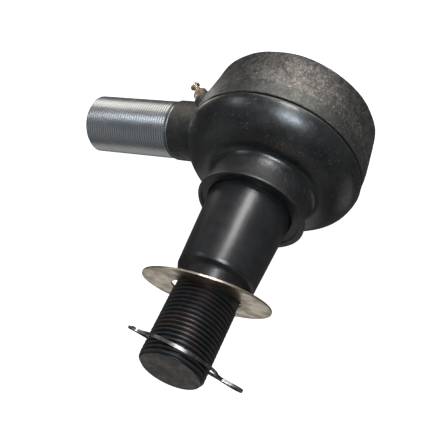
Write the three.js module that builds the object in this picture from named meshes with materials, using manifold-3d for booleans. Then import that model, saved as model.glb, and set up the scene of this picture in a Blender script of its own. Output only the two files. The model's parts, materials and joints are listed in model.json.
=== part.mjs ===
// Heavy-duty stud-type rod end: a ball stud in a forged head with a threaded shank.
// Millimetres. +Z runs along the stud towards its free end, the shank points along -X.
// The origin is the centre of the flat back of the head, on the stud axis.
import * as THREE from 'three';
import { mergeVertices } from 'three/addons/utils/BufferGeometryUtils.js';
import Module from 'manifold-3d';

const wasm = await Module();
wasm.setup();

// ---- driving dimensions ----
const BALL_Z = 36.5;          // ball centre above the flat back
const GAP = 0.3;              // clearance between neighbouring pieces
const ROUND = 40;             // sides of a large turned piece
const SMALL_ROUND = 20;       // sides of a small turned piece

const BALL_R = 30;
const NECK_R = 19;
const SWING_DEG = 20;         // largest tilt of the stud
const BORE_R = 36.3;          // head bore that holds seats, springs and cap
const BORE_TOP = 14.3;        // bore shoulder above the ball centre
const SEAT_R = BORE_R - GAP;

const HEAD_TOP = 19.5;        // face that carries the boot, above the ball centre
const HEAD_TOP_R = 63;
const HEAD_RIM_Z = -22.6;     // widest point of the back edge
const HEAD_RIM_R = 59.3;
const BACK_R = 43;            // flat back of the head
const SPIGOT_R = 51.7;        // raised ring that locates the boot
const SPIGOT_TOP = 22.5;

const THREAD_R = 21;          // M42 on both the stud and the shank
const SHANK_END = 154.5;      // from the stud axis
const SHANK_THREAD_START = 82.5;
const SHANK_NECK_R = 21.9;

const LIP_Z = 66;             // free face of the boot neck, above the ball centre
const TAPER_START = 70.8;
const TAPER_START_R = 28.4;
const TAPER_END = 122.4;
const TAPER = 0.0506;         // radius lost per mm, close to 1:10 on diameter
const SHOULDER_END = 127;
const RELIEF_R = 20.5;
const STUD_THREAD_START = 141;
const STUD_END = 191.4;

const PIN_Z = 179.3;          // cross hole, above the ball centre
const PIN_AZIMUTH = 139;      // direction of the split pin's prongs, degrees
const PIN_HOLE_R = 2;
const PIN_LEAN = 15.5;        // lean of the outer leg towards the stud's end, degrees

const WASHER_CENTRE = new THREE.Vector3(-0.9, 0.1, 134.2);   // it hangs to one side
const WASHER_R = 42;
const WASHER_HOLE_R = 22.6;
const WASHER_T = 1.5;
const WASHER_NORMAL = new THREE.Vector3(-0.022, -0.3, 1).normalize();

const NIPPLE_AZIMUTH = 149;   // around the stud axis, degrees
const NIPPLE_DROOP = 35;      // the nipple leans towards the back of the head, degrees
const NIPPLE_WALL_R = 61.5;   // where its axis leaves the wall
const NIPPLE_WALL_Z = -1.5;
const NIPPLE_SEAT = 2.3;      // its seat stands this far out of the wall

const rad = THREE.MathUtils.degToRad;

// ---- helpers ----
const finish = (color, roughness, metalness) =>
  new THREE.MeshStandardMaterial({ color, roughness, metalness });

// A turned piece about +Z from [radius, height] points, outer wall going up.
function turned(points, sides = ROUND) {
  const profile = points.map(([r, z]) => new THREE.Vector2(r, z));
  return new THREE.LatheGeometry(profile, sides).rotateX(Math.PI / 2);
}

// The same, for a ring whose outline closes on itself.
const turnedRing = (points, sides) => turned([...points, points[0]], sides);

// A cylinder from point a to point b.
function rod(a, b, radius, sides = SMALL_ROUND, endRadius = radius) {
  const start = new THREE.Vector3(...a);
  const axis = new THREE.Vector3(...b).sub(start);
  const geometry = new THREE.CylinderGeometry(endRadius, radius, axis.length(), sides);
  geometry.translate(0, axis.length() / 2, 0);
  const up = new THREE.Vector3(0, 1, 0);
  geometry.applyQuaternion(new THREE.Quaternion().setFromUnitVectors(up, axis.normalize()));
  return geometry.translate(...start);
}

// Closed mesh of shared corners, for joining and cutting.
function solid(geometry) {
  const bare = geometry.clone();
  bare.deleteAttribute('normal');
  bare.deleteAttribute('uv');
  const merged = mergeVertices(bare, 1e-5);
  const index = merged.index.array;
  const triangles = [];
  for (let i = 0; i < index.length; i += 3) {
    const [a, b, c] = [index[i], index[i + 1], index[i + 2]];
    if (a !== b && b !== c && c !== a) triangles.push(a, b, c);
  }
  return new wasm.Manifold(new wasm.Mesh({
    numProp: 3,
    vertProperties: new Float32Array(merged.attributes.position.array),
    triVerts: new Uint32Array(triangles),
  }));
}

function fromSolid(body) {
  const mesh = body.getMesh();
  const geometry = new THREE.BufferGeometry();
  geometry.setAttribute('position', new THREE.BufferAttribute(mesh.vertProperties, 3));
  geometry.setIndex(new THREE.BufferAttribute(mesh.triVerts, 1));
  geometry.computeVertexNormals();
  return geometry;
}

function add(parent, name, geometry, material) {
  const mesh = new THREE.Mesh(geometry, material);
  mesh.name = name;
  parent.add(mesh);
}

// Points of a circle about the ball centre, in the [radius, height] plane.
function arc(radius, fromDeg, toDeg, steps) {
  const points = [];
  for (let i = 0; i <= steps; i++) {
    const angle = rad(fromDeg + (toDeg - fromDeg) * i / steps);
    points.push([radius * Math.cos(angle), radius * Math.sin(angle)]);
  }
  return points;
}

// ---- finishes ----
const forged = () => finish(0x2b2826, 0.62, 0.75);
const ground = () => finish(0x8d9096, 0.3, 0.95);
const phosphated = () => finish(0x232426, 0.42, 0.85);
const rubber = () => finish(0x151517, 0.55, 0.0);
const acetal = () => finish(0xd8d4c6, 0.4, 0.0);
const springSteel = () => finish(0x35383f, 0.35, 0.9);
const zinc = () => finish(0xb9a987, 0.38, 0.9);
const nippleZinc = () => finish(0xc9a956, 0.3, 0.9);

// ---- the assembly, in a group whose origin is the ball centre ----
const rodEnd = new THREE.Group();
const ballCentre = new THREE.Group();
ballCentre.position.z = BALL_Z;
rodEnd.add(ballCentre);

// Directions of the grease nipple.
const nippleOut = new THREE.Vector3(
  Math.cos(rad(NIPPLE_DROOP)) * Math.cos(rad(NIPPLE_AZIMUTH)),
  Math.cos(rad(NIPPLE_DROOP)) * Math.sin(rad(NIPPLE_AZIMUTH)),
  -Math.sin(rad(NIPPLE_DROOP)));
const nippleRoot = new THREE.Vector3(
  NIPPLE_WALL_R * Math.cos(rad(NIPPLE_AZIMUTH)),
  NIPPLE_WALL_R * Math.sin(rad(NIPPLE_AZIMUTH)),
  NIPPLE_WALL_Z);
const nippleAt = (distance) => nippleRoot.clone().addScaledVector(nippleOut, distance);

// Head: drafted wall, machined land under the boot, conical back, bore from the back.
function housing() {
  const back = -BALL_Z;
  const landStart = 8;
  const head = solid(turned([
    [0, back], [BACK_R - 1, back], [BACK_R, back + 0.6],
    [HEAD_RIM_R - 2.4, HEAD_RIM_Z - 1.8], [HEAD_RIM_R - 0.7, HEAD_RIM_Z + 0.3],
    [HEAD_RIM_R, HEAD_RIM_Z + 2.6], [62.5, landStart], [62.1, landStart + 0.5],
    [HEAD_TOP_R - 0.4, HEAD_TOP - 1.2], [HEAD_TOP_R - 0.9, HEAD_TOP],
    [SPIGOT_R, HEAD_TOP], [SPIGOT_R, SPIGOT_TOP - 0.8], [SPIGOT_R - 0.8, SPIGOT_TOP], [0, SPIGOT_TOP],
  ]));
  const neck = solid(rod([-SHANK_THREAD_START + 1, 0, 0], [-40, 0, 0], SHANK_NECK_R, ROUND));
  const flare = solid(rod([-70, 0, 0], [-50, 0, 0], SHANK_NECK_R, ROUND, 29));
  const chamfer = solid(rod([-SHANK_THREAD_START - 1, 0, 0], [-SHANK_THREAD_START + 1.1, 0, 0],
    THREAD_R - 1.2, ROUND, SHANK_NECK_R));
  const shank = solid(rod([-SHANK_END + 2, 0, 0], [-SHANK_THREAD_START + 0.5, 0, 0], THREAD_R, ROUND));
  const tip = solid(rod([-SHANK_END, 0, 0], [-SHANK_END + 2.1, 0, 0], THREAD_R - 2, ROUND, THREAD_R));
  const boss = solid(rod(nippleAt(-6).toArray(), nippleAt(NIPPLE_SEAT).toArray(), 6.6));

  const bootSpace = solid(rod([0, 0, HEAD_TOP], [0, 0, HEAD_TOP + 20], HEAD_TOP_R + 0.8, ROUND));

  const opening = NECK_R / Math.cos(rad(SWING_DEG)) + 1;
  const slope = Math.tan(rad(SWING_DEG));
  const bore = solid(turned([
    [0, back - 1], [BORE_R + 1.2, back - 1], [BORE_R + 0.2, back + 1], [BORE_R, back + 1.2],
    [BORE_R, back + 2.2], [BORE_R + 2.2, back + 2.2], [BORE_R + 2.2, back + 4.9], [BORE_R, back + 4.9],
    [BORE_R, BORE_TOP], [opening + 1.2 + slope * BORE_TOP, BORE_TOP],
    [opening + slope * SPIGOT_TOP, SPIGOT_TOP - 1], [opening + 1 + slope * SPIGOT_TOP, SPIGOT_TOP + 1],
    [0, SPIGOT_TOP + 1],
  ]));
  const nippleHole = solid(rod(nippleAt(-9).toArray(), nippleAt(NIPPLE_SEAT + 1).toArray(), 4));
  const spotFace = solid(rod(nippleAt(NIPPLE_SEAT).toArray(), nippleAt(14).toArray(), 6.7));
  const passageStart = nippleAt(-8);
  const passageEnd = passageStart.clone().multiply(new THREE.Vector3(0.55, 0.55, 1));
  const passage = solid(rod(passageStart.toArray(), passageEnd.toArray(), 2, 16));
  const stem = flare.add(neck).add(chamfer).add(shank).add(tip).subtract(bootSpace);
  return fromSolid(head.add(stem).add(boss)
    .subtract(spotFace).subtract(bore).subtract(nippleHole).subtract(passage));
}
add(ballCentre, 'housing', housing(), forged());

// Upper seat: bears on the top half of the ball, with a grease groove and four feed holes.
function upperSeat() {
  const inner = BALL_R + GAP;
  const foot = GAP;
  const top = BORE_TOP - GAP;
  const bowl = arc(inner, THREE.MathUtils.radToDeg(Math.asin(top / inner)), 0.6, 4);
  const ring = solid(turnedRing([
    [SEAT_R, foot], [SEAT_R, 2.4], [SEAT_R - 1.2, 2.8], [SEAT_R - 1.2, 5.6], [SEAT_R, 6],
    [SEAT_R, top], ...bowl,
  ]));
  const feeds = [0, 90].map((angle) => {
    const side = new THREE.Vector3(SEAT_R + 5, 0, 0).applyAxisAngle(new THREE.Vector3(0, 0, 1), rad(angle));
    return solid(rod([-side.x, -side.y, 4.2], [side.x, side.y, 4.2], 1.4, 12));
  });
  return fromSolid(ring.subtract(feeds[0]).subtract(feeds[1]));
}
add(ballCentre, 'upper_seat', upperSeat(), acetal());

// Lower seat: a cup whose flange rests on the disc springs, with a central boss and grease hole.
const FLANGE_BOTTOM = -20.7;
const SEAT_BOSS_R = 26;
const SEAT_BOSS_BOTTOM = -32.3;
function lowerSeat() {
  const inner = BALL_R + GAP;
  const holeR = 5;
  const holeAngle = -THREE.MathUtils.radToDeg(Math.acos(holeR / inner));
  return turnedRing([
    [holeR, SEAT_BOSS_BOTTOM], [SEAT_BOSS_R - 0.8, SEAT_BOSS_BOTTOM], [SEAT_BOSS_R, SEAT_BOSS_BOTTOM + 0.8],
    [SEAT_BOSS_R, FLANGE_BOTTOM], [SEAT_R - 0.6, FLANGE_BOTTOM], [SEAT_R, FLANGE_BOTTOM + 0.6],
    [SEAT_R, -GAP], ...arc(inner, -0.6, holeAngle, 9),
  ]);
}
add(ballCentre, 'lower_seat', lowerSeat(), acetal());

// Hardened plate that spreads the springs' load over the lower seat.
const PLATE_T = 1.2;
const PLATE_TOP = FLANGE_BOTTOM - GAP;
add(ballCentre, 'spring_plate', turnedRing([
  [SEAT_BOSS_R + 0.5, PLATE_TOP - PLATE_T], [SEAT_R - 0.2, PLATE_TOP - PLATE_T],
  [SEAT_R - 0.2, PLATE_TOP], [SEAT_BOSS_R + 0.5, PLATE_TOP],
]), springSteel());

// Two disc springs, stacked edge to edge so that they open as a pair.
const DISC_T = 1.5;
const DISC_CONE = 0.5;
const DISC_INNER_R = SEAT_BOSS_R + 0.8;
const DISC_OUTER_R = SEAT_R - 0.4;
function discSpring(innerBottom, outerBottom) {
  return turnedRing([
    [DISC_INNER_R, innerBottom], [DISC_OUTER_R, outerBottom],
    [DISC_OUTER_R, outerBottom + DISC_T], [DISC_INNER_R, innerBottom + DISC_T],
  ]);
}
const upperDisc = PLATE_TOP - PLATE_T - 0.5 - DISC_T;
const lowerDisc = upperDisc - DISC_CONE - GAP - DISC_T;
add(ballCentre, 'disc_spring_upper', discSpring(upperDisc, upperDisc - DISC_CONE), springSteel());
add(ballCentre, 'disc_spring_lower', discSpring(lowerDisc - DISC_CONE, lowerDisc), springSteel());

// Closure cap with a raised centre, an O-ring in its edge and a snap ring under its flange.
const CAP_TOP = lowerDisc - DISC_CONE - GAP;
const CAP_FLANGE_BOTTOM = -BALL_Z + 5.2;
const RING_GROOVE = [CAP_FLANGE_BOTTOM + 0.9, CAP_TOP - 0.9];
function closureCap() {
  const recessR = SEAT_BOSS_R + GAP;
  const floor = SEAT_BOSS_BOTTOM - 0.7;
  const plateau = -BALL_Z;
  return turned([
    [0, plateau], [28.8, plateau], [30, plateau + 1.2], [30, CAP_FLANGE_BOTTOM],
    [SEAT_R, CAP_FLANGE_BOTTOM], [SEAT_R, RING_GROOVE[0]], [SEAT_R - 2.3, RING_GROOVE[0]],
    [SEAT_R - 2.3, RING_GROOVE[1]], [SEAT_R, RING_GROOVE[1]], [SEAT_R, CAP_TOP],
    [recessR, CAP_TOP], [recessR, floor], [0, floor],
  ]);
}
add(ballCentre, 'closure_cap', closureCap(), forged());

function capSealRing() {
  const middle = (RING_GROOVE[0] + RING_GROOVE[1]) / 2;
  const wire = Math.min((RING_GROOVE[1] - RING_GROOVE[0]) / 2 - 0.15, 0.95);
  return new THREE.TorusGeometry(SEAT_R - 1.05, wire, 6, ROUND).translate(0, 0, middle);
}
add(ballCentre, 'cap_seal_ring', capSealRing(), rubber());

// Internal snap ring with a gap and two plier holes.
function snapRing() {
  const outer = BORE_R + 1.9;
  const inner = 31.6;
  const gapAngle = 9;
  const shape = new THREE.Shape();
  shape.absarc(0, 0, outer, rad(gapAngle), rad(360 - gapAngle), false);
  shape.absarc(0, 0, inner, rad(360 - gapAngle), rad(gapAngle), true);
  shape.closePath();
  for (const side of [-1, 1]) {
    const hole = new THREE.Path();
    const angle = rad(side * (gapAngle + 4.5));
    hole.absarc(34.6 * Math.cos(angle), 34.6 * Math.sin(angle), 1.1, 0, 2 * Math.PI, true);
    shape.holes.push(hole);
  }
  const options = { depth: 2.1, bevelEnabled: false, curveSegments: 14 };
  return new THREE.ExtrudeGeometry(shape, options).translate(0, 0, -BALL_Z + 2.5);
}
add(ballCentre, 'snap_ring', snapRing(), springSteel());

// Ball stud: ball, neck, collar, taper, shoulder, relief and thread, with a cross hole.
function ballStud() {
  const neckAngle = THREE.MathUtils.radToDeg(Math.acos(NECK_R / BALL_R)) - 3;
  const stud = solid(turned([
    [0, -BALL_R + 0.4], [5, -BALL_R + 0.4], ...arc(BALL_R, -80, neckAngle, 15),
    [NECK_R + 0.2, 25.4], [NECK_R, 27], [NECK_R, 34], [NECK_R + 1.2, 38], [NECK_R + 4.4, 42.6],
    [NECK_R + 8, 46.4], [28.7, 49.5], [28.7, TAPER_START - 2],
    [TAPER_START_R, TAPER_START], [TAPER_START_R - TAPER * (TAPER_END - TAPER_START), TAPER_END],
    [TAPER_START_R - TAPER * (TAPER_END - TAPER_START) - 0.9, TAPER_END + 2.2],
    [RELIEF_R + 0.8, SHOULDER_END - 1], [RELIEF_R, SHOULDER_END],
    [RELIEF_R, STUD_THREAD_START - 1], [THREAD_R, STUD_THREAD_START],
    [THREAD_R, STUD_END - 2], [THREAD_R - 2, STUD_END], [0, STUD_END],
  ]));
  const across = new THREE.Vector3(Math.cos(rad(PIN_AZIMUTH)), Math.sin(rad(PIN_AZIMUTH)), 0);
  const reach = across.clone().multiplyScalar(THREAD_R + 4);
  const hole = solid(rod([-reach.x, -reach.y, PIN_Z], [reach.x, reach.y, PIN_Z], PIN_HOLE_R, 24));
  return fromSolid(stud.subtract(hole));
}
add(ballCentre, 'ball_stud', ballStud(), phosphated());

// Dust boot: a bulged rubber bellow from the head's face to a wide lip round the stud.
const COLLAR_INNER_R = 29.1;
const COLLAR_OUTER_R = 32.9;
const COLLAR_TOP = LIP_Z - 1.9;
const COLLAR_BOTTOM = 52;
const RIM_RING_R = SPIGOT_R + GAP + 2.2;
function dustBoot() {
  const foot = HEAD_TOP + GAP;
  const outer = [
    [62.6, foot], [62.9, 22], [62, 26], [59.6, 31], [55.5, 36], [50, 40.2], [43.5, 42.8],
    [38.6, 43.9], [36.4, 45.4], [35.2, 49], [35.1, 54], [36.1, 60], [37.5, 64.2], [37.5, LIP_Z],
  ];
  const inner = [
    [34.6, LIP_Z], [34.2, LIP_Z - 0.6], [COLLAR_INNER_R + 0.1, LIP_Z - 0.6],
    [COLLAR_INNER_R + 0.1, COLLAR_TOP + GAP], [COLLAR_OUTER_R + GAP, COLLAR_TOP + GAP],
    [COLLAR_OUTER_R + GAP, COLLAR_BOTTOM - GAP],
    [COLLAR_INNER_R + 0.6, COLLAR_BOTTOM - GAP], [COLLAR_INNER_R + 0.6, 48.4], [32, 44.5],
    [36, 40.8], [42.5, 39.4], [48.2, 36.6], [53, 32.6], [56.2, 28.2], [57.8, 24],
    [RIM_RING_R + GAP, SPIGOT_TOP + 0.9], [RIM_RING_R + GAP, foot],
  ];
  return turnedRing([...outer, ...inner]);
}
add(ballCentre, 'dust_boot', dustBoot(), rubber());

// Steel ring that grips the boot's foot on the spigot.
add(ballCentre, 'boot_rim_ring', turnedRing([
  [SPIGOT_R + GAP, HEAD_TOP + GAP], [RIM_RING_R, HEAD_TOP + GAP],
  [RIM_RING_R, SPIGOT_TOP], [SPIGOT_R + GAP, SPIGOT_TOP],
]), springSteel());

// Sleeve in the boot's neck, which turns on the stud's collar.
add(ballCentre, 'boot_neck_sleeve', turnedRing([
  [COLLAR_INNER_R, COLLAR_BOTTOM], [COLLAR_OUTER_R, COLLAR_BOTTOM], [COLLAR_OUTER_R, COLLAR_TOP],
  [COLLAR_INNER_R + 1.6, COLLAR_TOP], [COLLAR_INNER_R, COLLAR_TOP - 1.6],
]), springSteel());

// Thin flat washer lying loosely on the stud, at a slant.
function washer() {
  const ring = turnedRing([
    [WASHER_HOLE_R, -WASHER_T / 2], [WASHER_R, -WASHER_T / 2],
    [WASHER_R, WASHER_T / 2], [WASHER_HOLE_R, WASHER_T / 2],
  ]);
  const up = new THREE.Vector3(0, 0, 1);
  return ring.applyQuaternion(new THREE.Quaternion().setFromUnitVectors(up, WASHER_NORMAL));
}
const washerPlace = new THREE.Group();
washerPlace.position.copy(WASHER_CENTRE);
ballCentre.add(washerPlace);
add(washerPlace, 'stud_washer', washer(), zinc());

// Split pin: one leg lies in the cross hole, the other is sprung over the outside of the thread.
// Local x runs towards the prongs, local y towards the outer leg.
function splitPin() {
  const LEG_R = 1;
  const LEG_T = 1.5;
  const bowAcross = 25.6;
  const bowHeight = 24;
  const route = [[33.6, -2.3], [30.8, -1.2], [27, -0.9], [8, -0.9], [-8, -0.9], [-21, -0.9],
    [-29, -1.1], [-33.5, -2.4], [-38, -3.3], [-42.2, -2.7], [-44, 0], [-42.2, 2.7],
    [-38, 3.3], [-33.5, 2.7], [-29, 1.8]];
  for (let angle = 166; angle >= 14; angle -= 8) {
    route.push([bowAcross * Math.cos(rad(angle)), bowHeight * Math.sin(rad(angle))]);
  }
  route.push([26.6, 2.4], [29.5, 1.2], [32.2, 2]);
  const path = new THREE.CatmullRomCurve3(route.map(([x, y]) => new THREE.Vector3(x, y, 0)));
  const section = new THREE.Shape();
  section.moveTo(LEG_R, -LEG_T / 2);
  const curve = 6;
  for (let i = 1; i < curve; i++) {
    const angle = Math.PI * i / curve;
    section.lineTo(LEG_R * Math.cos(angle), -LEG_T / 2 + LEG_T * Math.sin(angle));
  }
  section.lineTo(-LEG_R, -LEG_T / 2);
  return new THREE.ExtrudeGeometry(section, { steps: 76, bevelEnabled: false, extrudePath: path });
}
const pinPlace = new THREE.Group();
pinPlace.position.z = PIN_Z;
pinPlace.rotation.z = rad(PIN_AZIMUTH);
const pinRoll = new THREE.Group();
pinRoll.rotation.x = rad(180 - PIN_LEAN);
pinPlace.add(pinRoll);
ballCentre.add(pinPlace);
add(pinRoll, 'split_pin', splitPin(), springSteel());

// Grease nipple, built along +Z from its seat and laid along its own axis.
const nipplePlace = new THREE.Group();
nipplePlace.position.copy(nippleAt(NIPPLE_SEAT + GAP));
nipplePlace.quaternion.setFromUnitVectors(new THREE.Vector3(0, 0, 1), nippleOut);
ballCentre.add(nipplePlace);
const VALVE_R = 1.3;
const VALVE_Z = 10.4;
function nippleBody() {
  const outside = solid(turned([
    [0, -7], [3.1, -7], [3.7, -6.3], [3.7, 0.5], [4.45, 0.5], [4.45, 4.2], [3.3, 4.9], [2.2, 7.6],
    [2.3, 8.3], [3.25, 9.3], [3.25, 10.3], [2.5, 11.6], [1.7, 12.4], [0, 12.4],
  ], 20));
  const hexagon = solid(rod([0, 0, 0], [0, 0, 4.4], 5.2, 6));
  const channel = solid(turned([
    [0, -8], [0.8, -8], [0.8, -0.4], [1.6, -0.4], [1.6, VALVE_Z + 0.5], [0.9, VALVE_Z + 1.3],
    [0.9, 13], [0, 13],
  ], 12));
  return fromSolid(outside.add(hexagon).subtract(channel));
}
add(nipplePlace, 'nipple_body', nippleBody(), nippleZinc());
add(nipplePlace, 'nipple_ball', new THREE.SphereGeometry(VALVE_R, 12, 8).rotateX(Math.PI / 2)
  .translate(0, 0, VALVE_Z), ground());

// Coil that holds the valve ball against its seat.
class Coil extends THREE.Curve {
  getPoint(t) {
    const turn = 2 * Math.PI * 5 * t;
    return new THREE.Vector3(1.05 * Math.cos(turn), 1.05 * Math.sin(turn), 8.2 * t);
  }
}
function nippleSpring() {
  const half = 0.22;
  const wire = new THREE.Shape([
    new THREE.Vector2(-half, -half), new THREE.Vector2(half, -half),
    new THREE.Vector2(half, half), new THREE.Vector2(-half, half),
  ]);
  return new THREE.ExtrudeGeometry(wire, { steps: 40, bevelEnabled: false, extrudePath: new Coil() });
}
add(nipplePlace, 'nipple_spring', nippleSpring(), springSteel());

export default rodEnd;
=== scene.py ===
"""Looks of a heavy-duty stud-type rod end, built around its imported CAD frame.

Lengths in the outlines below are millimetres from the ball centre, with +Z along the stud,
as in the CAD source. place() turns them into metres in the frame.
"""
import json
import math

import bmesh
import bpy
import numpy as np
from mathutils import Matrix, Quaternion, Vector, noise


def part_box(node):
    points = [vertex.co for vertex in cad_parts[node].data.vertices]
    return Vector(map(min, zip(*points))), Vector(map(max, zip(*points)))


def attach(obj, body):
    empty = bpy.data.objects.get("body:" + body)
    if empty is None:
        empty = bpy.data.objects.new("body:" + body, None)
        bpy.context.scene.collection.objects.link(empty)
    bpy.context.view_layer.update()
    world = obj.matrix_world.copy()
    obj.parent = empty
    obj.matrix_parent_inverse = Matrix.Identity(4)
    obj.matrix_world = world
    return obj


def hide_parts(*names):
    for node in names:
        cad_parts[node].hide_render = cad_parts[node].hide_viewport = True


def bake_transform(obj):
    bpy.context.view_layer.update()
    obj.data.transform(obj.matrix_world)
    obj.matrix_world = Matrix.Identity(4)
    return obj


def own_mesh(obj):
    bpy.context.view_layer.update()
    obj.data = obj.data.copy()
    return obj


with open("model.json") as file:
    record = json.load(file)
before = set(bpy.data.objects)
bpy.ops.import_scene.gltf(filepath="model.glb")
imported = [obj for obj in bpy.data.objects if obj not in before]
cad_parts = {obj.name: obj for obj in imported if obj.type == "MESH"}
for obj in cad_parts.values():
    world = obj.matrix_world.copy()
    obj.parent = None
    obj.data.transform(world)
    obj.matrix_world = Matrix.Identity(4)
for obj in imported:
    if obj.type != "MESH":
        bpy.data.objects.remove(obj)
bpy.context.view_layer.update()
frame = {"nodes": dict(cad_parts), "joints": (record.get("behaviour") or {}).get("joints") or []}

# ---- places read from the frame ----
MM = 0.001
JOINTS = {joint["name"]: joint for joint in frame["joints"]}
BALL = Vector(JOINTS["stud_tilt"]["pos_m"])
PIN_ALONG = Vector(JOINTS["pin_shift"]["axis"]).normalized()
NIPPLE_IN = Vector(JOINTS["valve_press"]["axis"]).normalized()


def centre_of(node):
    low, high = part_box(node)
    return (Vector(low) + Vector(high)) / 2


# ---- driving sizes, as in the CAD source ----
FLOOR_Z = -BALL.z / MM        # flat back of the head
THREAD_R = 21.0
STUD_PITCH = 3.0
SHANK_PITCH = 2.0
THREAD_ROOT = 0.25            # share of the pitch that a thread's rounded root takes up
SHANK_END = 154.5
SHANK_THREAD_START = 82.5
SHANK_NECK_R = 21.9
HEAD_TOP = 19.5
HEAD_TOP_R = 63.0
BORE_R = 36.3
ROOF_Z = 14.3                 # roof of the bore, under the head's lip
TILT_LIMIT = math.radians(20)
SPIGOT_R = 51.7
SPIGOT_TOP = 22.5
NECK_R = 19.0
BALL_R = 30.0
LIP_Z = 66.0
TAPER_START, TAPER_START_R = 70.8, 28.4
TAPER_END, TAPER_END_R = 122.4, 25.79
SHOULDER_END = 127.0
RELIEF_R = 20.5
STUD_THREAD_START = 141.0
STUD_END = 191.4
PIN_Z = 179.3
PIN_LEAN = math.radians(15.5)
PIN_HOLE_R = 2
WASHER_R = 42
WASHER_HOLE_R = 22.6
WASHER_T = 1.5
WASHER_NORMAL = Vector((-0.022, -0.3, 1)).normalized()

GAP = 0.3                     # clearance between neighbours
VALVE_Z = 10.4                # the nipple's ball, above the nipple's seat

NIPPLE_FOOT = (centre_of("nipple_ball") - BALL) / MM + NIPPLE_IN * VALVE_Z
NIPPLE_SEAT = NIPPLE_FOOT + NIPPLE_IN * GAP

AROUND = 160                  # sides of a large turned piece
FINE = 192                    # sides of the pieces that fill most of the view


# ---- mesh building ----
def place(points, matrix=Matrix.Identity(4)):
    """Millimetres about the ball centre to metres in the frame."""
    return [(matrix @ Vector(p)) * MM + BALL for p in points]


def build(name, points, faces, matrix=Matrix.Identity(4), sharp=32.0):
    """A mesh object with smooth shading, and sharp edges where faces meet at more than that angle."""
    mesh = bpy.data.meshes.new(name)
    mesh.from_pydata([tuple(p) for p in place(points, matrix)], [], faces)
    piece = bpy.data.objects.new(name, mesh)
    bpy.context.scene.collection.objects.link(piece)
    clean(piece, sharp)
    return piece


def clean(piece, sharp=32.0):
    """Merges doubled corners, turns the faces out and shades the piece."""
    body = bmesh.new()
    body.from_mesh(piece.data)
    bmesh.ops.remove_doubles(body, verts=body.verts, dist=2e-7)
    bmesh.ops.dissolve_degenerate(body, edges=body.edges, dist=1e-8)
    bmesh.ops.recalc_face_normals(body, faces=body.faces)
    shade(body, sharp)
    body.to_mesh(piece.data)
    body.free()
    piece.data.update()


def shade(body, sharp):
    limit = math.radians(sharp)
    for face in body.faces:
        face.smooth = True
    for edge in body.edges:
        edge.smooth = len(edge.link_faces) != 2 or edge.calc_face_angle(0) < limit


def apply_modifiers(piece):
    depsgraph = bpy.context.evaluated_depsgraph_get()
    mesh = bpy.data.meshes.new_from_object(piece.evaluated_get(depsgraph))
    piece.modifiers.clear()
    piece.data = mesh


def boolean(piece, other, operation, solver="MANIFOLD"):
    """Adds, cuts or intersects another piece, which is used up."""
    modifier = piece.modifiers.new("cut", "BOOLEAN")
    modifier.operation = operation
    modifier.solver = solver
    modifier.object = other
    apply_modifiers(piece)
    bpy.data.objects.remove(other)


def joined(name, pieces_in):
    """One object holding the meshes of several."""
    body = bmesh.new()
    for piece in pieces_in:
        body.from_mesh(piece.data)
        bpy.data.objects.remove(piece)
    mesh = bpy.data.meshes.new(name)
    body.to_mesh(mesh)
    body.free()
    piece = bpy.data.objects.new(name, mesh)
    bpy.context.scene.collection.objects.link(piece)
    return piece


def outline(corners, closed=False, steps=4):
    """Points of an outline whose corners are (r, z) or (r, z, fillet radius)."""
    points = []
    count = len(corners)
    for i, corner in enumerate(corners):
        here = Vector(corner[:2])
        fillet = corner[2] if len(corner) > 2 else 0
        inner = closed or 0 < i < count - 1
        if not fillet or not inner:
            points.append(here)
            continue
        before = (Vector(corners[i - 1][:2]) - here).normalized()
        after = (Vector(corners[(i + 1) % count][:2]) - here).normalized()
        half = before.angle(after) / 2
        cut = fillet / math.tan(half)
        middle = here + (before + after).normalized() * (fillet / math.sin(half))
        first = here + before * cut - middle
        last = here + after * cut - middle
        turn = first.angle_signed(last)
        for k in range(steps + 1):
            angle = -turn * k / steps
            spin = Matrix(((math.cos(angle), -math.sin(angle)), (math.sin(angle), math.cos(angle))))
            points.append(middle + spin @ first)
    return [tuple(p) for p in points]


def smooth_line(points, per_span=6):
    """A Catmull-Rom line through the points."""
    knots = [Vector(p) for p in points]
    knots = [2 * knots[0] - knots[1], *knots, 2 * knots[-1] - knots[-2]]
    line = []
    for i in range(1, len(knots) - 2):
        a, b, c, d = knots[i - 1:i + 3]
        for k in range(per_span):
            t = k / per_span
            line.append(0.5 * (2 * b + (c - a) * t + (2 * a - 5 * b + 4 * c - d) * t * t
                               + (3 * b - a - 3 * c + d) * t ** 3))
    line.append(knots[-2])
    return [tuple(p) for p in line]


def lathe(profile, closed=False, around=AROUND):
    """Points and faces of a turned shape. An open profile starts and ends on the axis."""
    rows = len(profile)
    points = []
    for r, z in profile:
        for k in range(around):
            angle = 2 * math.pi * k / around
            points.append((max(r, 0) * math.cos(angle), max(r, 0) * math.sin(angle), z))
    faces = []
    for i in range(rows if closed else rows - 1):
        low, high = i * around, (i + 1) % rows * around
        for k in range(around):
            after = (k + 1) % around
            faces.append((low + k, low + after, high + after, high + k))
    return points, faces


def turned(name, corners, closed=False, around=AROUND, matrix=Matrix.Identity(4)):
    points, faces = lathe(outline(corners, closed), closed, around)
    return build(name, points, faces, matrix)


def thread_depth(phase, pitch, crest):
    """Depth below the crest of a 60 degree thread, with a rounded root, at a phase from 0 to 1."""
    root = THREAD_ROOT
    flank = (1 - crest - root) / 2
    deep = flank * pitch / math.tan(math.radians(30))
    distance = abs(phase - 0.5)
    if distance > 0.5 - crest / 2:
        return 0.0
    if distance < root / 2:
        return deep * (1 + 0.05 * math.cos(math.pi * distance / root))
    return deep * (0.5 - crest / 2 - distance) / flank


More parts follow.
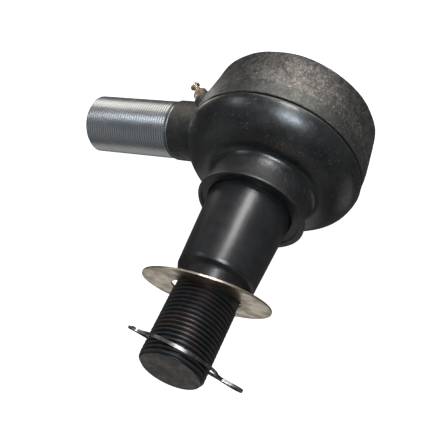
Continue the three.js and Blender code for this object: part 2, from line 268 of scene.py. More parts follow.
def threaded(name, start, end, pitch, crest, envelope, matrix=Matrix.Identity(4), around=128):
    """A right-hand external thread along +Z, cut down to envelope(z), with closed ends."""
    flat = crest / 2
    root_edge = 0.5 - THREAD_ROOT / 2
    falling = (0.0, flat, (flat + root_edge) / 2, root_edge, 0.44)
    phases = (*falling, 0.5, *(1 - phase for phase in falling[:0:-1]))
    first = math.floor(start / pitch) - 2
    last = math.ceil(end / pitch) + 1
    rows = [turn + phase for turn in range(first, last) for phase in phases]
    points = []
    for row in rows:
        for k in range(around):
            share = k / around
            z = min(max((row + share) * pitch, start), end)
            depth = thread_depth((z / pitch - share) % 1, pitch, crest)
            r = min(THREAD_R - depth, envelope(z))
            points.append((r * math.cos(2 * math.pi * share), r * math.sin(2 * math.pi * share), z))
    faces = []
    for i in range(len(rows) - 1):
        for k in range(around - 1):
            a = i * around + k
            faces.append((a, a + 1, a + around + 1, a + around))
        # the seam joins the last column to the first one, a whole turn further on
        a = i * around + around - 1
        b = (i + len(phases)) * around
        if b + around < len(rows) * around:
            faces.append((a, b, b + around, a + around))
    piece = build(name, points, faces, matrix)
    body = bmesh.new()
    body.from_mesh(piece.data)
    rim = [edge for edge in body.edges if len(edge.link_faces) == 1]
    bmesh.ops.holes_fill(body, edges=rim, sides=0)
    loose = [vert for vert in body.verts if not vert.link_faces]
    bmesh.ops.delete(body, geom=loose, context="VERTS")
    bmesh.ops.recalc_face_normals(body, faces=body.faces)
    shade(body, 28)
    body.to_mesh(piece.data)
    body.free()
    return piece


def swept(name, line, section, matrix):
    """A section carried along a flat line in the local XY plane: section x is local Z, y is outward."""
    count, size = len(line), len(section)
    points = []
    for i, here in enumerate(line):
        before, after = line[max(i - 1, 0)], line[min(i + 1, count - 1)]
        tangent = Vector((after[0] - before[0], after[1] - before[1])).normalized()
        outward = Vector((tangent.y, -tangent.x))
        for across, out in section:
            points.append((here[0] + outward.x * out, here[1] + outward.y * out, across))
    return build(name, points, ring_faces(count - 1, size), matrix)


def ring_faces(steps, size):
    """Quads between the rings of a carried section, and its two ends."""
    faces = []
    for i in range(steps):
        for k in range(size):
            after = (k + 1) % size
            faces.append((i * size + k, i * size + after, (i + 1) * size + after, (i + 1) * size + k))
    faces.append(tuple(range(size)))
    faces.append(tuple(range(steps * size, (steps + 1) * size)))
    return faces


def along(direction, origin=(0, 0, 0)):
    """Matrix that turns local +Z to a direction and moves the local origin."""
    turn = Vector((0, 0, 1)).rotation_difference(Vector(direction))
    return Matrix.Translation(Vector(origin)) @ turn.to_matrix().to_4x4()


def waves(piece, size, depth, seed=0.0):
    """Moves each corner along its normal by smooth noise, in millimetres, as on a forging."""
    shift = Vector((seed, seed * 0.7, seed * 1.3))
    moved = []
    for vert in piece.data.vertices:
        height = noise.noise(vert.co / (size * MM) + shift) * depth * MM
        moved.extend(vert.co + vert.normal * height)
    piece.data.vertices.foreach_set("co", moved)
    piece.data.update()


# ---- materials ----
class Finish:
    """A procedural material in object coordinates."""

    def __init__(self, name, **values):
        self.material = bpy.data.materials.new(name)
        self.material.use_nodes = True
        self.nodes = self.material.node_tree.nodes
        self.links = self.material.node_tree.links
        self.shader = self.nodes["Principled BSDF"]
        self.where = self.nodes.new("ShaderNodeTexCoord").outputs["Object"]
        self.normal = None
        for socket, value in values.items():
            self.shader.inputs[socket.replace("_", " ")].default_value = value

    def feed(self, socket, value):
        if isinstance(value, bpy.types.NodeSocket):
            self.links.new(value, socket)
        else:
            socket.default_value = value

    def stretched(self, x=1.0, y=1.0, z=1.0):
        node = self.nodes.new("ShaderNodeMapping")
        node.inputs["Scale"].default_value = (x, y, z)
        self.links.new(self.where, node.inputs["Vector"])
        return node.outputs["Vector"]

    def noise(self, millimetres, detail=4.0, rough=0.55, where=None):
        node = self.nodes.new("ShaderNodeTexNoise")
        node.inputs["Scale"].default_value = 1 / (millimetres * MM)
        node.inputs["Detail"].default_value = detail
        node.inputs["Roughness"].default_value = rough
        self.links.new(where or self.where, node.inputs["Vector"])
        return node.outputs["Fac"]

    def cells(self, millimetres):
        node = self.nodes.new("ShaderNodeTexVoronoi")
        node.inputs["Scale"].default_value = 1 / (millimetres * MM)
        self.links.new(self.where, node.inputs["Vector"])
        return node.outputs["Distance"]

    def range(self, value, low, high, to_low=0.0, to_high=1.0):
        node = self.nodes.new("ShaderNodeMapRange")
        node.interpolation_type = "SMOOTHSTEP"
        self.links.new(value, node.inputs["Value"])
        limits = {"From Min": low, "From Max": high, "To Min": to_low, "To Max": to_high}
        for socket, number in limits.items():
            node.inputs[socket].default_value = number
        return node.outputs["Result"]

    def maths(self, operation, a, b=0.0):
        node = self.nodes.new("ShaderNodeMath")
        node.operation = operation
        self.feed(node.inputs[0], a)
        self.feed(node.inputs[1], b)
        return node.outputs[0]

    def times(self, a, b):
        return self.maths("MULTIPLY", a, b)

    def plus(self, a, b):
        return self.maths("ADD", a, b)

    def axis(self, letter):
        node = self.nodes.new("ShaderNodeSeparateXYZ")
        self.links.new(self.where, node.inputs[0])
        return node.outputs[letter]

    def radius(self, first, second, centre=(0.0, 0.0)):
        """Distance from an axis, in metres."""
        squares = []
        for letter, middle in zip((first, second), centre):
            offset = self.maths("SUBTRACT", self.axis(letter), middle)
            squares.append(self.times(offset, offset))
        return self.maths("SQRT", self.plus(*squares))

    def height(self, low, high, to_low=0.0, to_high=1.0):
        """Rises between two heights above the ball centre, in millimetres."""
        return self.range(self.axis("Z"), BALL.z + low * MM, BALL.z + high * MM, to_low, to_high)

    def mix(self, share, a, b):
        node = self.nodes.new("ShaderNodeMix")
        node.data_type = "RGBA"
        self.feed(node.inputs["Factor"], share)
        for socket, colour in ((node.inputs[6], a), (node.inputs[7], b)):
            self.feed(socket, (*colour, 1.0) if isinstance(colour, tuple) else colour)
        return node.outputs[2]

    def colour(self, value):
        self.feed(self.shader.inputs["Base Color"], value)

    def rough(self, value):
        self.feed(self.shader.inputs["Roughness"], value)

    def bump(self, height, millimetres, strength=1.0):
        node = self.nodes.new("ShaderNodeBump")
        node.inputs["Strength"].default_value = strength
        node.inputs["Distance"].default_value = millimetres * MM
        self.links.new(height, node.inputs["Height"])
        if self.normal:
            self.links.new(self.normal, node.inputs["Normal"])
        self.normal = node.outputs["Normal"]
        self.links.new(self.normal, self.shader.inputs["Normal"])


def forged_skin():
    """Blasted and dark-coated forging, greyer on the machined band under the boot."""
    f = Finish("forged_skin", Metallic=0.6)
    mottle = f.range(f.noise(6, 6, 0.75), 0.36, 0.66)
    grain = f.noise(1.5, 4, 0.7)
    base = f.mix(mottle, (0.030, 0.027, 0.024), (0.085, 0.078, 0.070))
    rust = f.range(f.noise(6, 6, 0.7), 0.58, 0.74, 0.0, 0.5)
    base = f.mix(rust, base, (0.095, 0.055, 0.042))
    sparkle = f.range(grain, 0.56, 0.68)
    base = f.mix(f.times(sparkle, 0.5), base, (0.36, 0.35, 0.33))
    pit = f.range(grain, 0.30, 0.42, 0.7, 0.0)
    base = f.mix(pit, base, (0.012, 0.011, 0.010))
    # the machined land round the head, and a line of painted shade where the boot lies on it
    off_the_stem = f.range(f.axis("X"), -0.066, -0.062)
    land = f.times(f.height(7.5, 8.5), off_the_stem)
    base = f.mix(f.times(land, 0.6), base, (0.034, 0.036, 0.032))
    # painted shade: a near-black band along the top of the head, where the boot meets it
    line = f.times(f.height(HEAD_TOP - 1.0, HEAD_TOP - 0.3), off_the_stem)
    base = f.mix(f.times(line, 0.9), base, (0.006, 0.006, 0.006))
    neck = f.range(f.axis("X"), -0.064, -0.058, 0.75, 0.0)
    base = f.mix(neck, base, (0.018, 0.018, 0.017))
    f.colour(base)
    f.rough(f.plus(f.range(mottle, 0, 1, 0.46, 0.36), f.times(sparkle, -0.10)))
    f.bump(f.noise(14, 3), 0.6, 0.4)
    f.bump(f.noise(3.2, 5, 0.75), 0.8, 0.8)
    f.bump(grain, 0.35, 1.0)
    return f.material


def cut_steel():
    """Bright machined thread, with painted shade darkening the roots."""
    f = Finish("cut_steel", Metallic=1.0)
    radius = f.radius("Y", "Z", (0.0, BALL.z))
    crest = f.range(radius, (THREAD_R - 1.1) * MM, (THREAD_R - 0.1) * MM)
    streaks = f.noise(9, 3, 0.5)
    metal = f.mix(streaks, (0.35, 0.365, 0.38), (0.48, 0.495, 0.51))
    # painted shade: the roots take a much darker colour than the crests
    f.colour(f.mix(crest, (0.14, 0.145, 0.15), metal))
    f.rough(f.plus(f.range(streaks, 0.3, 0.7, 0.32, 0.36), f.range(crest, 0.2, 0.9, 0.30, 0.0)))
    f.bump(f.noise(2.5, 2), 0.004, 0.3)
    return f.material


def ground_phosphate():
    """Ground and phosphated taper: black satin with fine rings round the axis."""
    f = Finish("ground_phosphate", Metallic=0.75)
    rings = f.noise(0.45, 3, 0.6, f.stretched(0.03, 0.03, 1.0))
    cloud = f.noise(9, 6, 0.7)
    speck = f.range(f.noise(1.1, 3, 0.7), 0.62, 0.74)
    base = f.mix(f.range(cloud, 0.35, 0.7), (0.026, 0.026, 0.028), (0.038, 0.037, 0.037))
    f.colour(f.mix(f.times(speck, 0.35), base, (0.10, 0.095, 0.09)))
    f.rough(f.plus(f.range(cloud, 0.3, 0.7, 0.30, 0.34), f.times(rings, 0.06)))
    f.bump(rings, 0.010, 0.8)
    f.bump(f.noise(0.7, 3, 0.7), 0.015, 0.5)
    return f.material


def phosphate_thread():
    """Phosphated stud thread: black, with patches of reddish brown oil stain, and painted shade
    darkening the roots between the crests.
    """
    f = Finish("phosphate_thread", Metallic=0.7)
    radius = f.radius("X", "Y")
    crest = f.range(radius, (THREAD_R - 1.6) * MM, (THREAD_R - 0.05) * MM)
    stain = f.range(f.noise(13, 4, 0.6), 0.42, 0.66)
    # painted shade: both colours are much darker in the thread roots than on the crests
    black = f.mix(crest, (0.010, 0.010, 0.011), (0.042, 0.042, 0.044))
    brown = f.mix(crest, (0.022, 0.014, 0.012), (0.070, 0.052, 0.046))
    f.colour(f.mix(stain, black, brown))
    f.rough(f.range(f.noise(1.5, 4, 0.6), 0.3, 0.7, 0.30, 0.48))
    f.bump(f.noise(0.6, 3, 0.7), 0.05, 0.8)
    return f.material


def sawn_end():
    """Flat end of the stud: dull grey-brown with scuffs."""
    f = Finish("sawn_end", Metallic=0.6)
    cloud = f.range(f.noise(7, 5, 0.65), 0.35, 0.7)
    marks = f.range(f.noise(2.4, 5, 0.75, f.stretched(1.0, 0.35, 1.0)), 0.56, 0.70)
    base = f.mix(cloud, (0.052, 0.044, 0.040), (0.090, 0.080, 0.074))
    f.colour(f.mix(marks, base, (0.040, 0.034, 0.031)))
    f.rough(f.range(cloud, 0, 1, 0.55, 0.42))
    f.bump(f.noise(0.8, 4, 0.7), 0.06, 0.8)
    return f.material


def boot_rubber():
    """Moulded rubber: black satin with a faint bloom and dust, duller on the neck and at the foot, with
    painted shade at the foot.
    """
    f = Finish("boot_rubber", Specular_IOR_Level=0.55)
    bloom = f.range(f.noise(16, 4, 0.55), 0.35, 0.7)
    base = f.mix(bloom, (0.0040, 0.0040, 0.0042), (0.0085, 0.0085, 0.0085))
    grain = f.range(f.noise(1.3, 4, 0.75), 0.50, 0.72, 0.0, 0.75)
    base = f.mix(grain, base, (0.026, 0.025, 0.022))
    dust = f.range(f.cells(2.6), 0.08, 0.24, 1.0, 0.0)
    spread = f.range(f.noise(9, 4, 0.65), 0.48, 0.64)
    base = f.mix(f.times(f.times(dust, spread), 0.5), base, (0.12, 0.117, 0.11))
    # painted shade: near-black colour just above the foot, where the boot meets the head; the same mask
    # also makes the rubber duller there
    foot = f.height(HEAD_TOP + 0.8, HEAD_TOP + 2.6, 0.85, 0.0)
    f.colour(f.mix(foot, base, (0.002, 0.002, 0.002)))
    matt = f.plus(f.height(47, 52, 0.0, 0.13), f.times(foot, 0.4))
    f.rough(f.plus(matt, f.range(f.noise(5, 4, 0.6), 0.3, 0.7, 0.30, 0.40)))
    f.bump(f.noise(0.8, 3, 0.6), 0.03, 0.7)
    f.bump(f.noise(7, 3), 0.25, 0.5)
    return f.material


def plated(name, dull, bright, cloud_size, rough=(0.28, 0.45), metal=0.95):
    """Zinc plate: cloudy passivation with fine scratches."""
    f = Finish(name, Metallic=metal)
    cloud = f.range(f.noise(cloud_size, 4, 0.6), 0.35, 0.68)
    scratch = f.range(f.noise(0.9, 3, 0.7, f.stretched(1.0, 0.12, 1.0)), 0.55, 0.66)
    f.colour(f.mix(f.times(scratch, 0.5), f.mix(cloud, dull, bright), bright))
    f.rough(f.plus(f.range(cloud, 0, 1, rough[1], rough[0]), f.times(scratch, -0.06)))
    f.bump(f.noise(0.7, 3, 0.7), 0.02, 0.7)
    return f.material


def tempered(name, dark, light, rough=(0.28, 0.42), grain=6.0):
    """Oil-tempered spring steel with brighter rubbed places."""
    f = Finish(name, Metallic=0.9)
    rub = f.range(f.noise(grain, 4, 0.55), 0.38, 0.66)
    f.colour(f.mix(rub, dark, light))
    f.rough(f.range(rub, 0, 1, rough[1], rough[0]))
    f.bump(f.noise(0.6, 3, 0.7), 0.02, 0.7)
    return f.material


def turned_cap():
    """Turned closure cap: dark coat over fine lathe rings."""
    f = Finish("turned_cap", Metallic=0.7)
    radius = f.radius("X", "Y")
    ring_pitch = 0.5 * MM
    rings = f.maths("SINE", f.times(radius, 2 * math.pi / ring_pitch))
    cloud = f.range(f.noise(9, 5, 0.6), 0.35, 0.7)
    f.colour(f.mix(cloud, (0.035, 0.033, 0.031), (0.070, 0.066, 0.061)))
    f.rough(f.range(cloud, 0, 1, 0.48, 0.36))
    f.bump(rings, 0.02, 0.5)
    f.bump(f.noise(1.0, 3, 0.7), 0.04, 0.7)
    return f.material


def plain_plastic(name, colour, rough):
    """Moulded inner piece: slight mottle and bump."""
    f = Finish(name)
    shade_of = tuple(0.86 * c for c in colour)
    f.colour(f.mix(f.noise(6, 4), shade_of, colour))
    f.rough(f.range(f.noise(2, 3), 0.3, 0.7, rough, rough + 0.1))
    f.bump(f.noise(0.9, 3), 0.02, 0.6)
    return f.material


FORGED = forged_skin()
CUT = cut_steel()
TAPER_STEEL = ground_phosphate()
STUD_THREAD = phosphate_thread()
END_FACE = sawn_end()
RUBBER = boot_rubber()
WASHER_ZINC = plated("washer_zinc", (0.31, 0.25, 0.18), (0.54, 0.46, 0.345), 11)
NIPPLE_ZINC = plated("nipple_zinc", (0.30, 0.20, 0.11), (1.0, 0.86, 0.62), 3, (0.16, 0.30), 0.85)
PIN_STEEL = tempered("pin_steel", (0.045, 0.040, 0.036), (0.17, 0.155, 0.14), (0.36, 0.46), 9.0)
SPRING = tempered("spring_steel", (0.045, 0.047, 0.052), (0.13, 0.13, 0.135))
SLEEVE = tempered("sleeve_steel", (0.05, 0.05, 0.052), (0.16, 0.155, 0.15))
CAP = turned_cap()
ACETAL = plain_plastic("acetal", (0.70, 0.67, 0.58), 0.35)
NITRILE = plain_plastic("nitrile", (0.02, 0.02, 0.021), 0.45)


def settle(piece, body, material, slot, *nodes):
    """Gives a finished piece its material and body, and hides the CAD nodes it stands for. The slot is
    not used.
    """
    if material is not None:
        piece.data.materials.clear()
        piece.data.materials.append(material)
    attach(piece, body)
    if nodes:
        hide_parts(*nodes)


# ---- head ----
def forging():
    """Drafted head, forged neck and nipple boss grown together, then bored and faced."""
    head = turned("head_form", [
        (0, FLOOR_Z), (43, FLOOR_Z, 1), (58.9, -23.6, 1.8), (62.5, 8, 0.3), (62.1, 8.4),
        (62.7, HEAD_TOP, 0.5), (SPIGOT_R, HEAD_TOP), (SPIGOT_R, SPIGOT_TOP), (0, SPIGOT_TOP)])
    stem = turned("stem_form", [
        (0, -SHANK_THREAD_START), (SHANK_NECK_R, -SHANK_THREAD_START), (SHANK_NECK_R, -70, 12),
        (24.2, -62, 10), (30, -52), (30, -40), (0, -40)], matrix=along((1, 0, 0)))
    clearance = turned("boot_space", [
        (0, HEAD_TOP), (HEAD_TOP_R + 0.9, HEAD_TOP), (HEAD_TOP_R + 0.9, 60), (0, 60)])
    boolean(stem, clearance, "DIFFERENCE")
    boss = turned("boss_form", [(0, -6), (6.6, -6), (6.6, 0), (0, 0)],
                  matrix=along(-NIPPLE_IN, NIPPLE_SEAT))
    body = joined("housing_forging", [head, stem, boss])
    remesh = body.modifiers.new("grow", "REMESH")
    remesh.mode = "VOXEL"
    remesh.voxel_size = 0.85 * MM
    relax = body.modifiers.new("relax", "SMOOTH")
    relax.factor = 0.5
    relax.iterations = 4
    apply_modifiers(body)
    waves(body, 16, 0.35, 3.0)
    waves(body, 4, 0.10, 8.0)

    tilt = math.tan(TILT_LIMIT)
    opening = NECK_R / math.cos(TILT_LIMIT) + 1
    bore_cut = turned("bore_cut", [
        (0, FLOOR_Z - 2), (BORE_R + 3, FLOOR_Z - 2), (BORE_R, FLOOR_Z + 1.1), (BORE_R, FLOOR_Z + 2.2),
        (BORE_R + 2.2, FLOOR_Z + 2.2), (BORE_R + 2.2, FLOOR_Z + 4.9), (BORE_R, FLOOR_Z + 4.9),
        (BORE_R, ROOF_Z), (opening + 1.2 + tilt * ROOF_Z, ROOF_Z),
        (opening + 1 + tilt * SPIGOT_TOP, SPIGOT_TOP + 2), (0, SPIGOT_TOP + 2)])
    boolean(body, bore_cut, "DIFFERENCE")
    facing = turned("back_facing", [(0, FLOOR_Z - 3), (80, FLOOR_Z - 3), (80, FLOOR_Z), (0, FLOOR_Z)])
    boolean(body, facing, "DIFFERENCE")
    seat_cut = turned("seat_cut", [(0, -9), (4, -9), (4, 0), (6.9, 0), (6.9, 12), (0, 12)],
                      matrix=along(-NIPPLE_IN, NIPPLE_SEAT), around=48)
    boolean(body, seat_cut, "DIFFERENCE")
    clean(body, 40)
    settle(body, "head", FORGED, "forged_steel", "housing")


def shank_thread():
    """Machined M42x2 thread with a bright chamfer against the forged neck and one at the tip."""
    start, end = SHANK_THREAD_START - 1.2, SHANK_END
    groove_depth, groove_width = 0.62 * SHANK_PITCH, 1.2 * SHANK_PITCH

    def envelope(z):
        run_in = SHANK_NECK_R - max(z - SHANK_THREAD_START, 0) * 1.1
        tip = THREAD_R - max(z - (end - 2), 0)
        groove = THREAD_R - groove_depth if z < SHANK_THREAD_START + groove_width else THREAD_R
        return min(max(run_in, groove), tip)

    piece = threaded("shank_thread", start, end, SHANK_PITCH, 0.46, envelope, along((-1, 0, 0)))
    settle(piece, "head", CUT, "forged_steel")


def back_closure():
    """Turned cap with a groove for its seal, let into the back of the head."""
    cap = turned("closure_cap_turned", [
        (0, FLOOR_Z), (30, FLOOR_Z, 1.1), (30, FLOOR_Z + 5.2), (35.9, FLOOR_Z + 5.2, 0.3),
        (35.9, FLOOR_Z + 6.3), (33.7, FLOOR_Z + 6.3), (33.7, FLOOR_Z + 8.2), (35.9, FLOOR_Z + 8.2),
        (35.9, FLOOR_Z + 9.1, 0.3), (26.3, FLOOR_Z + 9.1), (26.3, FLOOR_Z + 3.5), (0, FLOOR_Z + 3.5)])
    settle(cap, "head", CAP, "forged_steel", "closure_cap")


def snap_ring():
    """Internal snap ring: a bevelled band with ears, open at +X, with two plier holes."""
    low = FLOOR_Z + 2.5
    thick = 2.1
    gap = math.radians(9)
    count = 180
    inner, outer, edge = 31.6, BORE_R + 1.9, 0.3
    top = low + thick
    section = [(inner + edge, low), (outer - edge, low), (outer, low + edge), (outer, top - edge),
               (outer - edge, top), (inner + edge, top), (inner, top - edge), (inner, low + edge)]
    points = []
    for i in range(count + 1):
        angle = gap + (2 * math.pi - 2 * gap) * i / count
        # the band is wide at its ears and narrows from there on
        away = min(angle - gap, 2 * math.pi - gap - angle)
        narrow = 1.6 * min(max((away - 0.28) / 0.25, 0), 1)
        for r, z in section:
            shift = narrow * (outer - r) / (outer - inner)
            points.append(((r + shift) * math.cos(angle), (r + shift) * math.sin(angle), z))
    ring = build("snap_ring_bevelled", points, ring_faces(count, len(section)))
    for side in (-1, 1):
        angle = side * math.radians(13.5)
        spot = (34.6 * math.cos(angle), 34.6 * math.sin(angle), low - 1)
        drill = turned("plier_hole", [(0, 0), (1.1, 0), (1.1, 5), (0, 5)],
                       matrix=Matrix.Translation(spot), around=24)
        boolean(ring, drill, "DIFFERENCE")
    clean(ring, 32)
    settle(ring, "head", SPRING, "spring_steel", "snap_ring")


# ---- grease nipple ----
def grease_nipple():
    """Turned nipple with a hexagon, a grip head and the valve's bore."""
    seat = along(-NIPPLE_IN, NIPPLE_FOOT)
    body = turned("nipple_turned", [
        (3.7, -7, 0.6), (3.7, 0.6), (4.3, 0.6), (4.3, 3.9), (4.05, 4.4, 0.2), (3.2, 5.0, 0.4),
        (2.15, 7.5, 0.8), (2.3, 8.4, 0.4), (3.5, 9.2, 0.4), (3.5, 10.3, 0.9), (1.9, 12.3, 0.3),
        (1.3, 12.4, 0.1), (0.95, 12.0), (0.95, 11.5), (1.6, 10.9), (1.6, -0.4), (0.8, -0.4), (0.8, -7)],
        closed=True, matrix=seat, around=64)
    hexagon = turned("hexagon_form", [(2, 0), (5.25, 0), (5.25, 4.3), (2, 4.3)],
                     closed=True, matrix=seat, around=6)
    trim = turned("hexagon_trim", [
        (0, -0.1), (4.75, -0.1), (5.3, 0.5), (5.3, 3.7), (4.5, 4.4), (0, 4.4)], matrix=seat, around=64)
    boolean(hexagon, trim, "INTERSECT")
    boolean(body, hexagon, "UNION")
    clean(body, 24)
    settle(body, "head", NIPPLE_ZINC, "nipple_zinc", "nipple_body")


def valve_spring():
    """Coil under the valve ball, built at one length: it does not shorten as the ball is pressed in."""
    turns, per_turn, sides = 5, 24, 8
    wire_r, coil_r, height = 0.24, 1.05, 8.2
    steps = turns * per_turn
    points = []
    for i in range(steps + 1):
        angle = 2 * math.pi * i / per_turn
        outward = Vector((math.cos(angle), math.sin(angle), 0))
        middle = outward * coil_r + Vector((0, 0, height * i / steps))
        for k in range(sides):
            around = 2 * math.pi * k / sides
            rise = Vector((0, 0, wire_r * math.sin(around)))
            points.append(middle + outward * (wire_r * math.cos(around)) + rise)
    faces = ring_faces(steps, sides)
    coil = build("valve_spring", points, faces, along(-NIPPLE_IN, NIPPLE_FOOT))
    settle(coil, "head", SPRING, "spring_steel", "nipple_spring")
    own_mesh(coil)


# ---- stud ----
def ball_stud():
    """Ball, neck, collar, taper, shoulder and relief as one turned piece, with a helical thread."""
    neck_angle = math.degrees(math.acos(NECK_R / BALL_R)) - 2
    ball = [(BALL_R * math.cos(math.radians(a)), BALL_R * math.sin(math.radians(a)))
            for a in np.linspace(-80, neck_angle, 40)]
    corners = [
        (0, -29.6), (5, -29.6), *ball, (NECK_R, 26.6, 2), (NECK_R, 33, 6),
        (28.7, 48.5, 4), (28.7, TAPER_START - 2, 0.5), (TAPER_START_R, TAPER_START, 1),
        (TAPER_END_R, TAPER_END, 1.4), (TAPER_END_R - 0.9, TAPER_END + 2.2, 0.6),
        (RELIEF_R + 0.9, SHOULDER_END - 1, 0.8), (RELIEF_R, SHOULDER_END + 0.4, 0.6),
        (RELIEF_R, STUD_THREAD_START - 0.4), (0, STUD_THREAD_START - 0.4)]
    shaft = turned("stud_shaft", corners, around=FINE)
    settle(shaft, "stud", TAPER_STEEL, "stud_steel", "ball_stud")

    def envelope(z):
        run_in = RELIEF_R + max(z - STUD_THREAD_START + 0.6, 0) * 0.9
        tip = THREAD_R - max(z - (STUD_END - 1.6), 0) * 1.1
        return min(run_in, THREAD_R, tip)

    thread = threaded("stud_thread", STUD_THREAD_START - 1, STUD_END, STUD_PITCH, 0.16, envelope)
    reach = THREAD_R + 9
    drill = turned("pin_hole", [(0, -reach), (PIN_HOLE_R, -reach), (PIN_HOLE_R, reach), (0, reach)],
                   matrix=along(PIN_ALONG, (0, 0, PIN_Z)), around=48)
    boolean(thread, drill, "DIFFERENCE", "EXACT")
    clean(thread, 28)
    thread.data.materials.append(STUD_THREAD)
    thread.data.materials.append(END_FACE)
    end_z = BALL.z + (STUD_END - 0.01) * MM
    for face in thread.data.polygons:
        on_end = all(thread.data.vertices[v].co.z > end_z for v in face.vertices)
        face.material_index = 1 if on_end else 0
    settle(thread, "stud", None, "stud_steel")


def stud_washer():
    """Stamped washer: rounded on one side, with a small burr radius on the other."""
    middle = (centre_of("stud_washer") - BALL) / MM
    half = WASHER_T / 2
    ring = turned("washer_stamped", [
        (WASHER_HOLE_R, -half, 0.2), (WASHER_R, -half, 0.5),
        (WASHER_R, half, 0.25), (WASHER_HOLE_R, half, 0.4)],
        closed=True, around=FINE, matrix=along(WASHER_NORMAL, middle))
    waves(ring, 30, 0.12, 5.0)
    clean(ring, 40)
    settle(ring, "washer", WASHER_ZINC, "zinc_plate", "stud_washer")


def split_pin():
    """One straight leg in the cross hole, an eye, and the other leg bowed over the thread."""
    leg_r, leg_t = 1.0, 1.5
    route = [(33.6, -2.3), (30.8, -1.2), (27, -0.9), (8, -0.9), (-8, -0.9), (-21, -0.9), (-29, -1.1),
             (-33.5, -2.4), (-38, -3.3), (-42.2, -2.7), (-44, 0), (-42.2, 2.7), (-38, 3.3),
             (-33.5, 2.7), (-29, 1.8)]
    for degrees in range(166, 13, -8):
        angle = math.radians(degrees)
        route.append((25.6 * math.cos(angle), 24 * math.sin(angle)))
    route += [(26.6, 2.4), (29.5, 1.2), (32.2, 2)]
    arc = [math.pi * k / 12 for k in range(13)]
    section = [(leg_r * math.cos(a), -leg_t / 2 + leg_t * math.sin(a)) for a in arc]
    level = PIN_ALONG.cross(Vector((0, 0, 1))).normalized()
    outer_leg = -(Quaternion(PIN_ALONG, math.pi - PIN_LEAN) @ level)
    local = Matrix((PIN_ALONG, outer_leg, PIN_ALONG.cross(outer_leg))).transposed().to_4x4()
    local.translation = Vector((0, 0, PIN_Z))
    pin = swept("split_pin_bent", smooth_line(route), section, local)
    settle(pin, "pin", PIN_STEEL, "spring_steel", "split_pin")


# ---- boot ----
def settled(point, foot):
    """The boot's outside has sunk a little to one side, away from the shank."""
    sunk, first, span = 1.3, 3, 12
    x, y, z = point
    rise = min(max((z - foot - first) / span, 0), 1)
    away = sunk * rise * rise * (3 - 2 * rise)
    return x + 0.73 * away, y - 0.69 * away, z


def dust_boot():
    """Bulged rubber boot from the head's face to a wide lip, with a stepped mouth."""
    foot = HEAD_TOP + GAP
    bulge = smooth_line([
        (62.5, foot + 1.1), (62.9, 22.4), (62, 26), (59.6, 31), (55.5, 36), (50, 40.2), (43.5, 42.8),
        (38.6, 43.9), (36.4, 45.4), (35.2, 49), (35.1, 54), (36.1, 60), (37.4, 64.4)], 7)
    mouth = outline([(37.5, 64.8), (37.5, LIP_Z, 0.45), (34.7, LIP_Z, 0.3), (34.3, LIP_Z - 0.6, 0.3),
                     (29.3, LIP_Z - 0.6, 0.3), (29.3, LIP_Z - 1.6), (33.2, LIP_Z - 1.6), (33.2, 52)])
    inside = smooth_line([
        (33.2, 51.7), (29.7, 51.6), (29.7, 48.4), (32, 44.5), (36, 40.8), (42.5, 39.4), (48.2, 36.6),
        (53, 32.6), (56.2, 28.2), (57.6, 24.4)], 3)
    base = [(54.5, SPIGOT_TOP + 0.9), (54.5, foot), (61.2, foot), (62.0, foot + 0.4)]
    points, faces = lathe(bulge + mouth[1:] + inside + base, closed=True, around=FINE)
    lip_rows = 6              # rows of the mouth that belong to the lip's outer edge
    outside = (len(bulge) + lip_rows) * FINE
    points = [settled(point, foot) if i < outside else point for i, point in enumerate(points)]
    boot = build("boot_moulded", points, faces, sharp=50)
    waves(boot, 22, 0.30, 11.0)
    clean(boot, 50)
    boot.data.materials.append(RUBBER)
    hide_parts("dust_boot")
    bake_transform(boot)


def neck_sleeve():
    """Steel ring inside the boot's lip."""
    sleeve = turned("neck_sleeve_turned", [
        (29.1, 52, 0.2), (32.9, 52, 0.2), (32.9, LIP_Z - 1.9, 0.3), (30.6, LIP_Z - 1.9, 0.3),
        (29.1, LIP_Z - 3.4, 0.3)], closed=True, around=FINE)
    settle(sleeve, "boot_neck", SLEEVE, "spring_steel", "boot_neck_sleeve")


def inner_pieces():
    """CAD nodes that stay: they only need their materials."""
    finishes = {
        "upper_seat": ACETAL, "lower_seat": ACETAL, "spring_plate": SPRING, "disc_spring_upper": SPRING,
        "disc_spring_lower": SPRING, "cap_seal_ring": NITRILE, "boot_rim_ring": SPRING,
        "nipple_ball": SLEEVE}
    for node, material in finishes.items():
        mesh = frame["nodes"][node].data
        mesh.materials.clear()
        mesh.materials.append(material)


# ---- studio ----
def floor():
    """Pale paper floor, with a pale wall all round that only the camera sees."""
    f = Finish("studio_paper", Roughness=0.9)
    f.colour(f.mix(f.noise(60, 3), (0.86, 0.86, 0.86), (0.88, 0.88, 0.88)))
    f.shader.inputs["Emission Color"].default_value = (1, 1, 1, 1)
    f.shader.inputs["Emission Strength"].default_value = 0.95
    top = FLOOR_Z - 0.4       # just under the part, so that the two flat faces don't share a plane
    under = top - 5
    reach, rise = 3000, 9000
    paper = turned("studio_floor", [(0, top), (reach, top), (reach, under), (0, under)])
    wall = turned("studio_wall", [
        (reach - 10, under), (reach, under), (reach, rise), (reach - 10, rise)], closed=True)
    for piece in (paper, wall):
        piece.data.materials.append(f.material)
        piece.visible_glossy = False
    wall.visible_diffuse = False


def lamp(name, place_at, target, width, height, power, colour=(1, 1, 1), turn=0.0):
    """A rectangular lamp that the camera doesn't see, aimed at a target, in metres and watts."""
    data = bpy.data.lights.new(name, "AREA")
    data.shape = "RECTANGLE"
    data.size, data.size_y = width, height
    data.energy = power
    data.color = colour
    lamp_object = bpy.data.objects.new(name, data)
    lamp_object.location = place_at
    direction = Vector(target) - Vector(place_at)
    aim = direction.to_track_quat("-Z", "Y") @ Quaternion((0, 0, 1), math.radians(turn))
    lamp_object.rotation_euler = aim.to_euler()
    lamp_object.visible_camera = False
    bpy.context.scene.collection.objects.link(lamp_object)


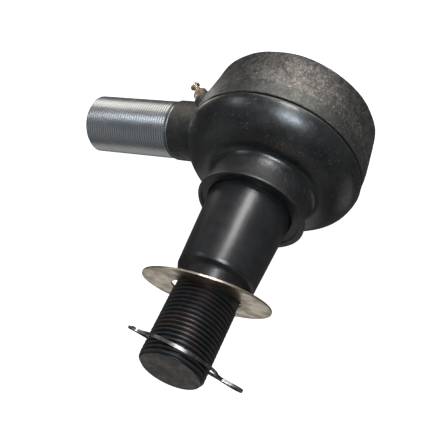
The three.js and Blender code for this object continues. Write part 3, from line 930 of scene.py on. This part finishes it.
def studio():
    """Floor, a weak even world and the lamps that shape each highlight."""
    floor()
    world = bpy.data.worlds.new("studio")
    world.use_nodes = True
    background = world.node_tree.nodes["Background"]
    background.inputs["Color"].default_value = (1, 1, 1, 1)
    background.inputs["Strength"].default_value = 0.10
    bpy.context.scene.world = world
    warm, cool = (1.0, 0.97, 0.94), (0.90, 0.95, 1.0)
    slant = 22
    # long low strip in front of the stud: the streak down the taper and thread
    lamp("floor_strip", (0.112, 0.278, 0.004), (0.112, 0.2781, 1), 0.05, 0.26, 1.5, warm, slant)
    # low boards beside the head and the shank
    lamp("head_board", (0.036, 0.096, 0.003), (0.036, 0.0961, 1), 0.10, 0.06, 0.085, warm, slant)
    lamp("shank_board", (-0.135, 0.055, 0.004), (-0.135, 0.0551, 1), 0.11, 0.05, 0.05, (1.0, 0.93, 0.86))
    # the thin line along the shank, and the broad light on its upper side
    lamp("shank_panel", (-0.50, 0.74, 0.16), (-0.1, 0, 0.04), 0.03, 0.20, 1.0, cool)
    lamp("side_wall", (-0.9, 0.15, 0.85), (0, 0, 0.06), 1.0, 0.8, 0.9, (0.93, 0.97, 1.0))
    # the key light, on the boot's shoulder
    lamp("softbox", (0.39, 0.79, 0.38), (0, 0, 0.06), 0.24, 0.2, 9.0, (0.80, 0.91, 1.0))
    # fill from behind, the right and above
    lamp("back_panel", (-0.48, -0.80, 0.35), (0, 0, 0.10), 0.7, 0.7, 0.95)
    lamp("right_panel", (0.46, -0.66, 0.20), (0, 0, 0.05), 0.5, 0.4, 0.42, (1.0, 0.98, 0.94))
    lamp("overhead", (0.1, -0.3, 1.1), (0, 0, 0.1), 0.9, 0.9, 0.8)
    bpy.context.scene.view_settings.view_transform = "Standard"


def camera():
    """Viewpoint from the stud's side of the head, rolled so that the stud points down and left."""
    eye = BALL + Vector((263.6, 431.19, 399.85)) * MM
    target = BALL + Vector((-19.5, 3.5, 75.9)) * MM
    roll = math.radians(-152.9)
    data = bpy.data.cameras.new("camera")
    data.sensor_width = 36
    data.lens = 77.2635
    data.clip_start = 0.01
    view = bpy.data.objects.new("camera", data)
    view.location = eye
    level = (target - eye).to_track_quat("-Z", "Y")
    view.rotation_mode = "QUATERNION"
    view.rotation_quaternion = level @ Quaternion((0, 0, 1), roll)
    bpy.context.scene.collection.objects.link(view)
    bpy.context.scene.camera = view


forging()
shank_thread()
back_closure()
snap_ring()
grease_nipple()
valve_spring()
ball_stud()
stud_washer()
split_pin()
dust_boot()
neck_sleeve()
inner_pieces()
studio()
camera()
